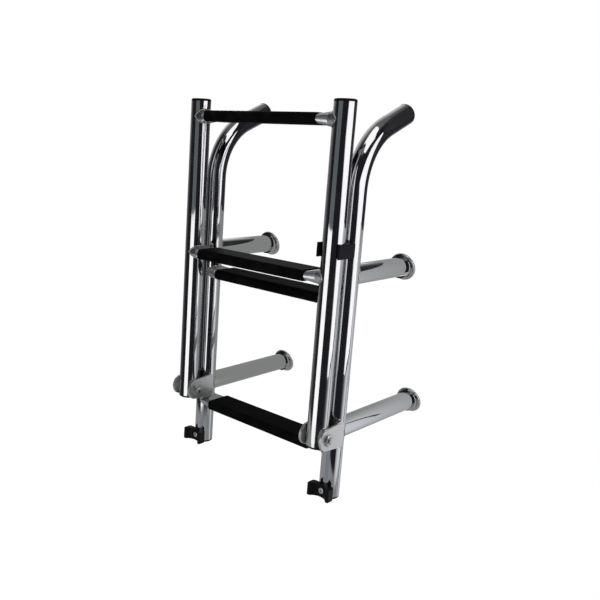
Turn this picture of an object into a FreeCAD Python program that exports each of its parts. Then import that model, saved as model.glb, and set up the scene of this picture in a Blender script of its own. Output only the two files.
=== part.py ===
import FreeCAD, Part
import math
import os

from FreeCAD import Vector

# Folding boarding ladder for a boat's transom.
# The model is drawn in a working frame: X across the ladder from its middle, Y from the fixed
# uprights towards the boat, Z up from the hinge axis. save() moves it to the origin on a foot.

# Tube and overall layout
track = 218.6            # between the centre lines of the two uprights of a section
tube_d = 25.0            # outside diameter of every upright
tube_wall = 1.5
section_gap = 33.7       # from the fixed uprights' axis forward to the folding uprights' axis

# Fixed section, from bottom to grab handle
fixed_rung_heights = {"lower": -23.2, "upper": 157.8}
leg_length = 59.6        # upright below the lower rung
handle_rise = 94.8       # straight upright between the upper standoff and the bend
bend_radius = 78.6
bend_angle = 67.8
grip_straight = 40.0     # straight tube behind the bend

# Folding section
folding_rung_heights = {"lower": 187.2, "top": 358.5}
folding_tube_bottom = -10.0
tube_above_top_rung = 18.3

# Standoffs and feet on the raked transom
standoff_d = 24.0
standoff_heights = {"upper": 187.2, "lower": 0.0}
upper_foot_reach = 118.2  # back face of an upper foot behind the uprights' axis
transom_rake = 15.8       # degrees
foot_d = 34.9
foot_thickness = 3.0
foot_edge = 1.8           # rounding of the disc's front rim
collar_wall = 2.2
collar_length = 6.0
spigot_length = 20.0
foot_hole_r = 3.4         # tapping size of the central M8 thread
foot_hole_depth = 15.0

# Rungs: tube pressed to an oval, with its ends opened out again at the uprights
rung_depth = 34.0
rung_height = 10.0
rung_end_depth = 24.4
rung_end_height = 16.5
flare_length = 12.0
tread_length = 168.0
tread_depth = 41.0
tread_height = 13.2
tread_corner = 5.2        # rounding of its long edges
tread_edge = 1.0          # rounding of its ends

# End plugs
plug_rim = 3.0
plug_round = 2.2
plug_insert = 14.0
plug_clearance = 0.1

# Hinge
hinge_play = 0.5          # between a folding upright and each hinge plate
plate_thickness = 3.0
lobe_radius = 13.2
lobe_lead = 1.5           # how far the lobe's centre lies ahead of the bolt
plate_rear = -4.0         # rear edge of the plates, behind the uprights' axis if positive
plate_rear_height = 32.0
plate_corner = 2.5
plate_edge = 0.5          # rounding of a plate's outer and inner outline
plate_cope_play = 0.3     # between a plate and the rung under it
weld_front = -10.5        # how far forward the weld root reaches beside the fixed upright
pivot_r = 4.0
pivot_play = 0.08
swivel_insert = 24.0      # the folding upright's lower plug carries the pivot
washer_r = 8.0
washer_thickness = 1.5
head_r = 7.0
head_height = 4.2
socket_across_flats = 5.0
socket_depth = 2.5
nut_across_flats = 13.0
nut_height = 5.0
nut_dome_r = 5.6
nut_dome_height = 4.0
nut_chamfer = 0.8
washer_edge = 0.4

# Clip and rest pads on the fixed uprights
holder_wall = 2.6         # thickness of an arm
saddle_rear = -11.0       # rear edge of a saddle beside the fixed upright
saddle_round = 4.5
tip_flat = 0.3            # flat left between the roundings of an arm's tip
holder_edge = 0.6         # rounding of a holder's upper and lower outline
clip_height = 16.2
clip_rise = 31.0          # clip's middle above the lower folding rung
clip_reach = 10.0         # how far an arm reaches past the folding upright's axis
clip_play = 0.4
pad_height = 16.0
pad_rise = 8.0            # pad's middle above the end of the fixed upright
pad_floor = -17.0         # bottom of the cradle
pad_front = -24.0         # tips of the arms
pad_play = 0.6
screw_r = 2.0
screw_play = 0.25
screw_head_r = 4.0
screw_head_height = 2.2
recess_span = 4.4         # cross recess in the screw's head
recess_width = 0.9
recess_depth = 1.3
counterbore_play = 0.3
counterbore_depth = 2.0
screw_length = 8.0

# Values worked out from the sizes above
half_track = track / 2
fixed_tube_bottom = fixed_rung_heights["lower"] - leg_length
bend_start = standoff_heights["upper"] + handle_rise
folding_tube_top = folding_rung_heights["top"] + tube_above_top_rung
FAR = 2 * (folding_tube_top - fixed_tube_bottom)   # longer than any cut needs
clip_centre = folding_rung_heights["lower"] + clip_rise
pad_centre = fixed_tube_bottom + pad_rise
arm_round = (holder_wall - tip_flat) / 2
tube_r = tube_d / 2
tube_bore_r = tube_r - tube_wall
standoff_r = standoff_d / 2
standoff_bore_r = standoff_r - tube_wall
foot_r = foot_d / 2
plate_inside = tube_r + hinge_play
plate_outside = plate_inside + plate_thickness
rake = math.radians(transom_rake)
bend = math.radians(bend_angle)
SIDES = {"left": -1, "right": 1}
X_AXIS = Vector(1, 0, 0)
Y_AXIS = Vector(0, 1, 0)
Z_AXIS = Vector(0, 0, 1)
BOAT_NORMAL = Vector(0, math.cos(rake), math.sin(rake))
UP_THE_TRANSOM = Vector(0, -math.sin(rake), math.cos(rake))


def foot_centre(side, level):
    """Centre of a foot's back face, on the raked plane of the transom."""
    height = standoff_heights[level]
    drop = standoff_heights["upper"] - height
    return Vector(SIDES[side] * half_track, upper_foot_reach + drop * math.tan(rake), height)


# The shared origin: on the left upper foot's back face, on its ring above the threaded hole
origin_ring_r = (foot_hole_r + foot_r) / 2
ORIGIN = foot_centre("left", "upper") + UP_THE_TRANSOM * origin_ring_r


def save(name, shape):
    """Move a shape from the working frame to the shared origin and write its file."""
    placed = shape.removeSplitter()
    placed.translate(ORIGIN * -1)
    placed.exportStep("parts/" + name + ".step")


def cylinder(radius, start, end):
    """Solid cylinder between two points of its axis."""
    along = end - start
    return Part.makeCylinder(radius, along.Length, start, along)


def oval(x, y, z, depth, height):
    """Outline of a flattened tube across the X axis: two flats joined by half circles."""
    return rounded_outline(x, y, z, depth, height, height / 2)


def rounded_outline(x, y, z, depth, height, corner):
    """Closed wire across the X axis: a rectangle with round corners, or two flats and half circles."""
    flat_y = depth / 2 - corner
    flat_z = height / 2 - corner
    slant = corner * math.sqrt(0.5)
    edges = []
    ends = []
    for sign_y, sign_z in ((1, 1), (1, -1), (-1, -1), (-1, 1)):
        centre = Vector(x, y + sign_y * flat_y, z + sign_z * flat_z)
        beside = centre + Y_AXIS * (sign_y * corner)
        middle = centre + Vector(0, sign_y * slant, sign_z * slant)
        level = centre + Z_AXIS * (sign_z * corner)
        first, last = (level, beside) if sign_y == sign_z else (beside, level)
        ends.append((first, last))
        edges.append(Part.Arc(first, middle, last).toShape())
    lines = []
    for index, (first, last) in enumerate(ends):
        following = ends[(index + 1) % 4][0]
        if last.distanceToPoint(following) > 1e-6:
            lines.append(Part.makeLine(last, following))
    return Part.Wire(Part.__sortEdges__(edges + lines))


def upright_cylinder(x, y, radius=tube_r):
    """Endless solid in the place of an upright, for coping what is welded to it."""
    return cylinder(radius, Vector(x, y, -FAR), Vector(x, y, FAR))


def behind_foot(side, level):
    """Half space behind a raked foot, for trimming tubes and discs."""
    centre = foot_centre(side, level)
    return cylinder(FAR / 4, centre, centre + BOAT_NORMAL * FAR)


# Fixed uprights

def bent_run(x, radius):
    """Solid rod along a fixed upright's centre line, from its bottom to the end of the grip."""
    bottom = Vector(x, 0, fixed_tube_bottom)
    knee = Vector(x, 0, bend_start)
    disc = Part.Face(Part.Wire(Part.Circle(knee, Z_AXIS, radius).toShape()))
    elbow = disc.revolve(Vector(x, bend_radius, bend_start), X_AXIS * -1, bend_angle)
    grip_start = bend_end(x)
    grip = cylinder(radius, grip_start, grip_start + grip_direction() * grip_straight)
    return cylinder(radius, bottom, knee).fuse([elbow, grip])


def bend_end(x):
    """Centre of the tube where the bend ends."""
    back = bend_radius * (1 - math.cos(bend))
    rise = bend_radius * math.sin(bend)
    return Vector(x, back, bend_start + rise)


def grip_direction():
    """Direction of the straight end of the grab handle."""
    return Vector(0, math.sin(bend), math.cos(bend))


def fixed_upright(side):
    """Bent tube with the screw holes for its rest pad and, on the right, the clip."""
    x = SIDES[side] * half_track
    tube = bent_run(x, tube_r).cut(bent_run(x, tube_bore_r))
    heights = [pad_centre]
    if side == "right":
        heights.append(clip_centre)
    holes = []
    for height in heights:
        holes.append(cylinder(screw_r, Vector(x, -tube_d, height), Vector(x, 0, height)))
    return tube.cut(holes)


# End plugs

def plug(end, outward, insert):
    """Plastic plug: a rounded rim as wide as the tube, with an insert in its bore."""
    rim = cylinder(tube_r, end, end + outward * plug_rim)
    outer_edges = []
    for edge in rim.Edges:
        if isinstance(edge.Curve, Part.Circle) and (edge.CenterOfMass - end).Length > plug_rim / 2:
            outer_edges.append(edge)
    rim = rim.makeFillet(plug_round, outer_edges)
    shank = cylinder(tube_bore_r - plug_clearance, end - outward * insert, end)
    return rim.fuse(shank)


def handle_plug(side):
    """Plug in the upper end of a grab handle."""
    end = bend_end(SIDES[side] * half_track) + grip_direction() * grip_straight
    return plug(end, grip_direction(), plug_insert)


def fixed_bottom_plug(side):
    """Plug under a fixed upright, drilled for the screw of the rest pad."""
    x = SIDES[side] * half_track
    body = plug(Vector(x, 0, fixed_tube_bottom), Z_AXIS * -1, plug_insert)
    return body.cut(cylinder(screw_r, Vector(x, -tube_d, pad_centre), Vector(x, 0, pad_centre)))


def folding_top_plug(side):
    """Plug on top of a folding upright."""
    end = Vector(SIDES[side] * half_track, -section_gap, folding_tube_top)
    return plug(end, Z_AXIS, plug_insert)


def swivel_plug(side):
    """Long plug in a folding upright's foot, drilled for the hinge bolt."""
    end = Vector(SIDES[side] * half_track, -section_gap, folding_tube_bottom)
    body = plug(end, Z_AXIS * -1, swivel_insert)
    return body.cut(pivot_bore(side, pivot_r + pivot_play))


# Standoffs and feet

def standoff(side, level):
    """Tube from a fixed upright back to its foot, coped at one end and raked at the other."""
    centre = foot_centre(side, level)
    start = Vector(centre.x, 0, centre.z)
    end = Vector(centre.x, centre.y + foot_d, centre.z)
    tube = cylinder(standoff_r, start, end).cut(cylinder(standoff_bore_r, start, end))
    tube = tube.cut(upright_cylinder(centre.x, 0))
    front_plane = behind_foot(side, level)
    front_plane.translate(BOAT_NORMAL * -foot_thickness)
    return tube.cut(front_plane)


def foot(side, level):
    """Turned foot: raked disc, collar round the tube, and a spigot with a blind thread."""
    centre = foot_centre(side, level)
    disc = cylinder(foot_r, centre - BOAT_NORMAL * foot_thickness, centre)
    front_rim = []
    for edge in disc.Edges:
        if isinstance(edge.Curve, Part.Circle) and (edge.CenterOfMass - centre).Length > foot_thickness / 2:
            front_rim.append(edge)
    disc = disc.makeFillet(foot_edge, front_rim)
    front = centre - Y_AXIS * (foot_thickness / math.cos(rake))
    collar_front = front - Y_AXIS * collar_length
    collar = cylinder(standoff_r + collar_wall, collar_front, centre)
    collar = collar.cut(cylinder(standoff_r, collar_front, centre))
    spigot = cylinder(standoff_bore_r - plug_clearance, front - Y_AXIS * spigot_length, centre)
    core = collar.fuse(spigot)
    front_plane = behind_foot(side, level)
    front_plane.translate(BOAT_NORMAL * -foot_thickness)
    body = disc.fuse(core.cut(front_plane))
    thread = cylinder(foot_hole_r, centre - BOAT_NORMAL * foot_hole_depth, centre + BOAT_NORMAL)
    return body.cut(thread)


# Rungs and treads

def rung_form(y, z, shrink):
    """Solid form of a pressed rung between the uprights' axes, smaller all round by shrink."""
    flare_start = tread_length / 2
    flare_end = flare_start + flare_length
    stations = [(half_track, rung_end_depth, rung_end_height), (flare_end, rung_end_depth, rung_end_height),
                (flare_start, rung_depth, rung_height)]
    wires = [oval(-x, y, z, d - 2 * shrink, h - 2 * shrink) for x, d, h in stations]
    wires += [oval(x, y, z, d - 2 * shrink, h - 2 * shrink) for x, d, h in reversed(stations)]
    return Part.makeLoft(wires, True, True)


def rung(y, z):
    """Hollow rung, coped to both uprights."""
    body = rung_form(y, z, 0.0).cut(rung_form(y, z, tube_wall))
    return body.cut([upright_cylinder(-half_track, y), upright_cylinder(half_track, y)])


def tread(y, z):
    """Oval sleeve over the flat length of a rung."""
    half = tread_length / 2
    outline = rounded_outline(-half, y, z, tread_depth, tread_height, tread_corner)
    outer = Part.Face(outline).extrude(X_AXIS * tread_length)
    ends = [edge for edge in outer.Edges if edge.BoundBox.XLength < 0.01]
    outer = outer.makeFillet(tread_edge, ends)
    slot = Part.Face(oval(-half, y, z, rung_depth, rung_height)).extrude(X_AXIS * tread_length)
    return outer.cut(slot)


# Folding section

def folding_upright(side):
    """Straight tube, cross-drilled at its foot for the hinge bolt."""
    x = SIDES[side] * half_track
    bottom = Vector(x, -section_gap, folding_tube_bottom)
    top = Vector(x, -section_gap, folding_tube_top)
    tube = cylinder(tube_r, bottom, top).cut(cylinder(tube_bore_r, bottom, top))
    return tube.cut(pivot_bore(side, pivot_r + pivot_play))


def pivot_bore(side, radius):
    """Rod along the hinge axis through one pair of plates."""
    x = SIDES[side] * half_track
    reach = plate_outside + plate_thickness
    return cylinder(radius, Vector(x - reach, -section_gap, 0), Vector(x + reach, -section_gap, 0))


# Hinge

def hinge_plate(side, outward):
    """Plate beside both uprights: a round lobe at the bolt, wider and welded at the fixed tube."""
    x = SIDES[side] * half_track
    face = x + outward * plate_inside
    outline = plate_outline(face)
    plate = Part.Face(outline).extrude(X_AXIS * (outward * plate_thickness))
    corners = []
    for edge in plate.Edges:
        along_x = edge.BoundBox.XLength > plate_thickness / 2
        if along_x and abs(edge.CenterOfMass.y - plate_rear) < 0.01:
            corners.append(edge)
    plate = plate.makeFillet(plate_corner, corners)
    outline_edges = [edge for edge in plate.Edges if edge.BoundBox.XLength < 0.01]
    plate = plate.makeFillet(plate_edge, outline_edges)
    root_inner = x + outward * tube_r / 2
    weld_half = plate_rear_height / 2 - plate_corner
    weld = Part.makeBox(abs(face - root_inner), plate_rear - weld_front, 2 * weld_half,
                        Vector(min(face, root_inner), weld_front, -weld_half))
    plate = plate.fuse(weld.cut(upright_cylinder(x, 0)))
    plate = plate.cut(rung_form(0.0, fixed_rung_heights["lower"], -plate_cope_play))
    return plate.cut(pivot_bore(side, pivot_r))


def plate_outline(x):
    """Teardrop wire: straight edges from the rear corners, tangent to the lobe's arc."""
    centre = Vector(x, -section_gap - lobe_lead, 0)
    half_height = plate_rear_height / 2
    corner = Vector(x, plate_rear, half_height)
    run = corner.y - centre.y
    reach = math.hypot(run, half_height)
    turn = math.atan2(half_height, run) + math.acos(lobe_radius / reach)
    touch = centre + Vector(0, math.cos(turn), math.sin(turn)) * lobe_radius
    nose = centre - Y_AXIS * lobe_radius
    mirrored_touch = Vector(x, touch.y, -touch.z)
    mirrored_corner = Vector(x, corner.y, -corner.z)
    edges = [Part.makeLine(corner, touch),
             Part.Arc(touch, nose, mirrored_touch).toShape(),
             Part.makeLine(mirrored_touch, mirrored_corner),
             Part.makeLine(mirrored_corner, corner)]
    return Part.Wire(edges)


def hinge_washer(side):
    """Flat washer under the bolt's head."""
    s = SIDES[side]
    face = s * (half_track + plate_outside)
    start = Vector(face, -section_gap, 0)
    end = Vector(face + s * washer_thickness, -section_gap, 0)
    ring = cylinder(washer_r, start, end)
    front_rim = [edge for edge in ring.Edges if abs(edge.CenterOfMass.x - end.x) < 0.01]
    return ring.makeFillet(washer_edge, front_rim).cut(cylinder(pivot_r, start, end))


def hinge_bolt(side):
    """Bolt from the outer side: domed head with a hexagon socket, shank to the cap nut."""
    s = SIDES[side]
    seat = s * (half_track + plate_outside + washer_thickness)
    under_head = Vector(seat, -section_gap, 0)
    crown = Vector(seat + s * head_height, -section_gap, 0)
    head = dome(under_head, X_AXIS * s, head_r, head_height)
    socket = hexagon(crown, X_AXIS * -s, socket_across_flats, socket_depth)
    tip = Vector(s * (half_track - plate_outside - nut_height), -section_gap, 0)
    return head.cut(socket).fuse(cylinder(pivot_r, under_head, tip))


def hinge_nut(side):
    """Cap nut on the inner plate."""
    s = SIDES[side]
    seat = Vector(s * (half_track - plate_outside), -section_gap, 0)
    inward = X_AXIS * -s
    hexa = hexagon(seat, inward, nut_across_flats, nut_height)
    turned = cylinder(nut_across_flats / math.sqrt(3), seat, seat + inward * nut_height)
    hexa = hexa.common(turned.makeChamfer(nut_chamfer, turned.Edges[:1] + turned.Edges[2:]))
    cap = dome(seat + inward * nut_height, inward, nut_dome_r, nut_dome_height)
    return hexa.fuse(cap).cut(cylinder(pivot_r, seat, seat + inward * nut_height))


def dome(base, direction, radius, height):
    """Spherical cap standing on a flat base."""
    ball_r = (radius ** 2 + height ** 2) / (2 * height)
    ball = Part.makeSphere(ball_r, base + direction * (height - ball_r))
    return ball.common(cylinder(radius, base, base + direction * (2 * height)))


def hexagon(base, direction, across_flats, height):
    """Hexagonal prism along X."""
    corner_r = across_flats / math.sqrt(3)
    points = []
    for step in range(7):
        angle = math.radians(60 * step)
        points.append(base + Vector(0, corner_r * math.cos(angle), corner_r * math.sin(angle)))
    return Part.Face(Part.makePolygon(points)).extrude(direction * height)


# Clip and rest pads

def holder(x, centre, height, front, cradle_y, cradle_r):
    """Moulded saddle on a fixed upright, with two arms beside a folding upright's place."""
    outside = cradle_r + holder_wall
    block = Part.makeBox(2 * outside, saddle_rear - front, height,
                         Vector(x - outside, front, centre - height / 2))
    rear = [edge for edge in block.Edges if upright_edge_at(edge, saddle_rear)]
    block = block.makeFillet(saddle_round, rear)
    low = Vector(x, cradle_y, centre - height)
    high = Vector(x, cradle_y, centre + height)
    cradle = cylinder(cradle_r, low, high)
    if front < cradle_y:
        mouth = Part.makeBox(2 * cradle_r, cradle_y - front, 2 * height, Vector(x - cradle_r, front, low.z))
        cradle = cradle.fuse(mouth)
    body = block.cut([cradle, upright_cylinder(x, 0)])
    tips = [edge for edge in body.Edges if upright_edge_at(edge, front)]
    body = body.makeFillet(arm_round, tips)
    outline = [edge for edge in body.Edges if edge.BoundBox.ZLength < 0.01 and edge.BoundBox.YMin > front - 1
               and not on_upright(edge, x)]
    return body.makeFillet(holder_edge, outline)


def on_upright(edge, x):
    """Whether an edge lies against the fixed upright."""
    point = edge.valueAt((edge.FirstParameter + edge.LastParameter) / 2)
    return abs(math.hypot(point.x - x, point.y) - tube_r) < 0.01


def upright_edge_at(edge, y):
    """Whether an edge is upright and lies at the given depth."""
    first = edge.Vertexes[0].Point
    last = edge.Vertexes[-1].Point
    level = abs(first.y - y) < 0.01 and abs(last.y - y) < 0.01
    return level and abs(first.x - last.x) < 0.01 and abs(first.z - last.z) > 1


def screw_seat(x, centre, floor):
    """Clearance hole and counterbore for a holder's screw, in its floor."""
    hole = cylinder(screw_r + screw_play, Vector(x, floor - tube_d, centre), Vector(x, 0, centre))
    pocket = cylinder(screw_head_r + counterbore_play, Vector(x, floor - tube_d, centre),
                      Vector(x, floor + counterbore_depth, centre))
    return hole.fuse(pocket)


def holder_screw(x, centre, floor):
    """Pan-head screw through a holder's floor into the tube's front wall."""
    seat = Vector(x, floor + counterbore_depth, centre)
    forward = Y_AXIS * -1
    head = cylinder(screw_head_r, seat, seat + forward * screw_head_height)
    rim = []
    for edge in head.Edges:
        if isinstance(edge.Curve, Part.Circle) and abs(edge.CenterOfMass.y - seat.y) > screw_head_height / 2:
            rim.append(edge)
    head = head.makeFillet(screw_head_height / 2, rim)
    recess_floor = seat.y - screw_head_height + recess_depth
    for wide, tall in ((recess_span, recess_width), (recess_width, recess_span)):
        corner = Vector(x - wide / 2, recess_floor - screw_head_height, centre - tall / 2)
        head = head.cut(Part.makeBox(wide, screw_head_height, tall, corner))
    return head.fuse(cylinder(screw_r, seat, seat + Y_AXIS * screw_length))


def clip_values():
    """Place of the clip: x, floor, cradle centre, cradle radius and front."""
    cradle_r = tube_r + clip_play
    return half_track, -section_gap + cradle_r, -section_gap, cradle_r, -section_gap - clip_reach


def fold_clip():
    """Clip on the right that holds the folding section up."""
    x, floor, cradle_y, cradle_r, front = clip_values()
    body = holder(x, clip_centre, clip_height, front, cradle_y, cradle_r)
    return body.cut(screw_seat(x, clip_centre, floor))


def rest_pad(side):
    """Pad at a fixed upright's foot that the lowered section rests in."""
    x = SIDES[side] * half_track
    cradle_r = tube_r + pad_play
    body = holder(x, pad_centre, pad_height, pad_front, pad_floor - cradle_r, cradle_r)
    return body.cut(screw_seat(x, pad_centre, pad_floor))


def build():
    """Make every piece and write it."""
    for side in SIDES:
        s = SIDES[side]
        save(side + "_fixed_upright", fixed_upright(side))
        save(side + "_handle_plug", handle_plug(side))
        save(side + "_fixed_bottom_plug", fixed_bottom_plug(side))
        for level in standoff_heights:
            save(side + "_" + level + "_standoff", standoff(side, level))
            save(side + "_" + level + "_foot", foot(side, level))
        save(side + "_outer_hinge_plate", hinge_plate(side, s))
        save(side + "_inner_hinge_plate", hinge_plate(side, -s))
        save(side + "_hinge_washer", hinge_washer(side))
        save(side + "_hinge_bolt", hinge_bolt(side))
        save(side + "_hinge_nut", hinge_nut(side))
        save(side + "_rest_pad", rest_pad(side))
        save(side + "_pad_screw", holder_screw(s * half_track, pad_centre, pad_floor))
        save(side + "_folding_upright", folding_upright(side))
        save(side + "_folding_top_plug", folding_top_plug(side))
        save(side + "_swivel_plug", swivel_plug(side))
    for level, height in fixed_rung_heights.items():
        save("fixed_" + level + "_rung", rung(0.0, height))
        save("fixed_" + level + "_tread", tread(0.0, height))
    for level, height in folding_rung_heights.items():
        save("folding_" + level + "_rung", rung(-section_gap, height))
        save("folding_" + level + "_tread", tread(-section_gap, height))
    save("fold_clip", fold_clip())
    save("clip_screw", holder_screw(half_track, clip_centre, clip_values()[1]))


os.makedirs("parts", exist_ok=True)
build()
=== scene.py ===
"""Look of a folding transom ladder: finishes, weld beads, hinge bolts, threads, studio and camera.

Lengths in the classes are millimetres in the ladder's own system: X across it from its middle,
Y from the fixed uprights towards the boat, Z up from the hinge axis. frame_point() turns them into
the metres of the shared frame.
"""
import logging
import math
from dataclasses import dataclass
from enum import Enum
from typing import Any, Iterable, Mapping, Sequence

import bpy
from mathutils import Matrix, Vector


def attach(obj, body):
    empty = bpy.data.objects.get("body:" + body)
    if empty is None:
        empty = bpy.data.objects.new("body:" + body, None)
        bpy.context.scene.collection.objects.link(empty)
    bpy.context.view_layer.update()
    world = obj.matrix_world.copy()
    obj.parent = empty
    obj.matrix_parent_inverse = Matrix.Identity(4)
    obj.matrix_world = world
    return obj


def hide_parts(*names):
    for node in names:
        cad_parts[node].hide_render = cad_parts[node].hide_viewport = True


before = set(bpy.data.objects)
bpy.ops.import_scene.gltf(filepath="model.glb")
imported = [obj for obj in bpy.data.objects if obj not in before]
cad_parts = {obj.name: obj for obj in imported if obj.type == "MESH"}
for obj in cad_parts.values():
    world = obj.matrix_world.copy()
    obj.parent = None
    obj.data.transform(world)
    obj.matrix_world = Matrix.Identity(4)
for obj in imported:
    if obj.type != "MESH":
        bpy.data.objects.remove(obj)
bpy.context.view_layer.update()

LOG = logging.getLogger("ladder")
LADDER_ORIGIN = Vector((-109.3, 115.361478, 197.231123))
MM = 0.001
DEGREES = 180.0 / math.pi
SIDES = {"left": -1, "right": 1}
LEVELS = ("upper", "lower")
Color = tuple[float, float, float, float]
Pair = tuple[float, float]
Point = tuple[float, float, float]


def grey(level: float) -> Color:
    """Opaque grey of one level."""
    return (level, level, level, 1.0)


def angles(count: int) -> list[float]:
    """Equal steps round a circle, in radians."""
    return [2 * math.pi * index / count for index in range(count)]


def add_object(name: str, data: Any) -> bpy.types.Object:
    """Put new data in the scene.

    Args:
        name: The object's name.
        data: Its mesh, lamp or camera.

    Returns:
        The object.
    """
    added = bpy.data.objects.new(name, data)
    bpy.context.scene.collection.objects.link(added)
    return added


def plain_mesh(name: str, points: Iterable[Vector], edges: Sequence[tuple[int, int]] = (),
               faces: Sequence[Sequence[int]] = ()) -> bpy.types.Mesh:
    """Mesh of given corners.

    Args:
        name: Its name.
        points: Its corners, in frame coordinates.
        edges: Pairs of corners that loose edges join.
        faces: Corners of each face, in order.

    Returns:
        The mesh.
    """
    mesh = bpy.data.meshes.new(name)
    mesh.from_pydata([tuple(point) for point in points], list(edges), list(faces))
    return mesh


def frame_point(x: float, y: float, z: float) -> Vector:
    """Turn a point of the ladder's system, in millimetres, into the shared frame's metres."""
    return (Vector((x, y, z)) - LADDER_ORIGIN) * MM


class Axis(Enum):
    """Direction in which a piece runs."""

    X = 0
    Y = 1
    Z = 2


@dataclass(frozen=True)
class Relief:
    """Strength of a bump texture, and its depth in metres."""

    strength: float
    depth: float


class Socket:
    """A node's output that can be used in Python expressions."""

    def __init__(self, graph: "Graph", output: bpy.types.NodeSocket) -> None:
        """Keep the output and its graph, which new Math nodes go into."""
        self.graph = graph
        self.output = output

    def __add__(self, other: Any) -> "Socket":
        """Sum with a socket or number."""
        return self.graph.maths("ADD", self, other)

    def __radd__(self, other: Any) -> "Socket":
        """Sum with a number on the left."""
        return self.graph.maths("ADD", other, self)

    def __sub__(self, other: Any) -> "Socket":
        """Difference from a socket or number."""
        return self.graph.maths("SUBTRACT", self, other)

    def __rsub__(self, other: Any) -> "Socket":
        """Difference with a number on the left."""
        return self.graph.maths("SUBTRACT", other, self)

    def __mul__(self, other: Any) -> "Socket":
        """Product with a socket or number."""
        return self.graph.maths("MULTIPLY", self, other)

    def __rmul__(self, other: Any) -> "Socket":
        """Product with a number on the left."""
        return self.graph.maths("MULTIPLY", other, self)

    def __truediv__(self, other: Any) -> "Socket":
        """Quotient by a socket or number."""
        return self.graph.maths("DIVIDE", self, other)

    def __pow__(self, other: Any) -> "Socket":
        """Power of a socket or number."""
        return self.graph.maths("POWER", self, other)


class Graph:
    """Adds and joins the nodes of one tree."""

    def __init__(self, tree: bpy.types.NodeTree) -> None:
        """Empty the shader or geometry node tree and keep it."""
        tree.nodes.clear()
        self.tree = tree

    def node(self, kind: str, settings: Mapping[str, Any] | None = None,
             inputs: Mapping[Any, Any] | None = None) -> bpy.types.Node:
        """Add a node.

        Args:
            kind: The node's type.
            settings: Its settings, which are set first.
            inputs: Values or Sockets for its inputs, by name or number.

        Returns:
            The new node.
        """
        node = self.tree.nodes.new(kind)
        for name, setting in (settings or {}).items():
            setattr(node, name, setting)
        for name, given in (inputs or {}).items():
            if isinstance(given, Socket):
                self.tree.links.new(given.output, node.inputs[name])
            else:
                node.inputs[name].default_value = given
        return node

    def value(self, kind: str, settings: Mapping[str, Any] | None = None,
              inputs: Mapping[Any, Any] | None = None, output: Any = 0) -> Socket:
        """Add a node and give one of its outputs, by name or number."""
        return Socket(self, self.node(kind, settings, inputs).outputs[output])

    def values(self, kind: str, inputs: Mapping[Any, Any], names: Iterable[Any]) -> list[Socket]:
        """Add a node and give several of its outputs, by name or number."""
        node = self.node(kind, {}, inputs)
        return [Socket(self, node.outputs[name]) for name in names]

    def maths(self, operation: str, first: Any, second: Any = 0.0) -> Socket:
        """Add a Math node for two sockets or numbers and give its result."""
        return self.value("ShaderNodeMath", {"operation": operation}, {0: first, 1: second})

    def step(self, value: Socket, low: float, high: float) -> Socket:
        """Rise smoothly from 0 where the value is low to 1 where it is high."""
        return self.value("ShaderNodeMapRange", {"interpolation_type": "SMOOTHSTEP"},
                          {0: value, 1: low, 2: high, 3: 0.0, 4: 1.0})

    def mix(self, factor: Any, first: Any, second: Any) -> Socket:
        """Mix two colours, the factor being the second one's share."""
        return self.value("ShaderNodeMix", {"data_type": "RGBA"}, {0: factor, 6: first, 7: second}, 2)

    def noise(self, scale: float, detail: float = 2.0, vector: Socket | None = None) -> Socket:
        """Fractal noise about 0.5, its detail in octaves, in object coordinates or others."""
        return self.value("ShaderNodeTexNoise", {}, {
            "Vector": vector or self.place(), "Scale": scale, "Detail": detail})

    def streaks(self, axis: Axis, scales: Pair, detail: float = 3.0) -> Socket:
        """Fractal noise drawn out along a piece.

        Args:
            axis: The piece's own direction.
            scales: Scale in that direction, and in the other two.
            detail: Number of octaves.

        Returns:
            The noise's value.
        """
        along, across = scales
        stretch = [across, across, across]
        stretch[axis.value] = along
        vector = self.value("ShaderNodeMapping", {}, {"Vector": self.place(), "Scale": stretch})
        return self.noise(1.0, detail, vector)

    def cells(self, feature: str, scale: float) -> Socket:
        """Distance to the nearest of many scattered points, sharp or smooth by its feature."""
        return self.value("ShaderNodeTexVoronoi", {"feature": feature}, {
            "Vector": self.place(), "Scale": scale})

    def place(self) -> Socket:
        """Object coordinates."""
        return self.value("ShaderNodeTexCoord", output="Object")

    def bump(self, height: Socket, relief: Relief) -> Socket:
        """Normals of a surface with a texture as its relief."""
        return self.value("ShaderNodeBump", {}, {
            "Strength": relief.strength, "Distance": relief.depth, "Height": height})

    def apart(self, turn: Socket, azimuth: float) -> Socket:
        """Angle between two azimuths, from 0 to 180 degrees."""
        offset = self.value("ShaderNodeMath", {"operation": "WRAP"}, {
            0: turn - azimuth, 1: 180.0, 2: -180.0})
        return self.maths("ABSOLUTE", offset)

    def seen(self, in_metal: float = 1.0) -> Socket:
        """Mask of rays that see the background, with in_metal as the share off glossy surfaces."""
        camera, glossy, through = self.values(
            "ShaderNodeLightPath", {}, ("Is Camera Ray", "Is Glossy Ray", "Is Transmission Ray"))
        return self.maths("MAXIMUM", self.maths("MAXIMUM", camera, through), glossy * in_metal)


def new_material(name: str) -> tuple[bpy.types.Material, Graph]:
    """Make an empty node material.

    Args:
        name: Its name.

    Returns:
        The material and the graph of its tree.
    """
    material = bpy.data.materials.new(name)
    material.use_nodes = True
    return material, Graph(material.node_tree)


def close_surface(graph: Graph, settings: Mapping[str, Any]) -> None:
    """Add the Principled shader, with values or Sockets for its inputs, and the output."""
    shader = graph.value("ShaderNodeBsdfPrincipled", {}, settings)
    graph.node("ShaderNodeOutputMaterial", {}, {"Surface": shader})


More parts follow.
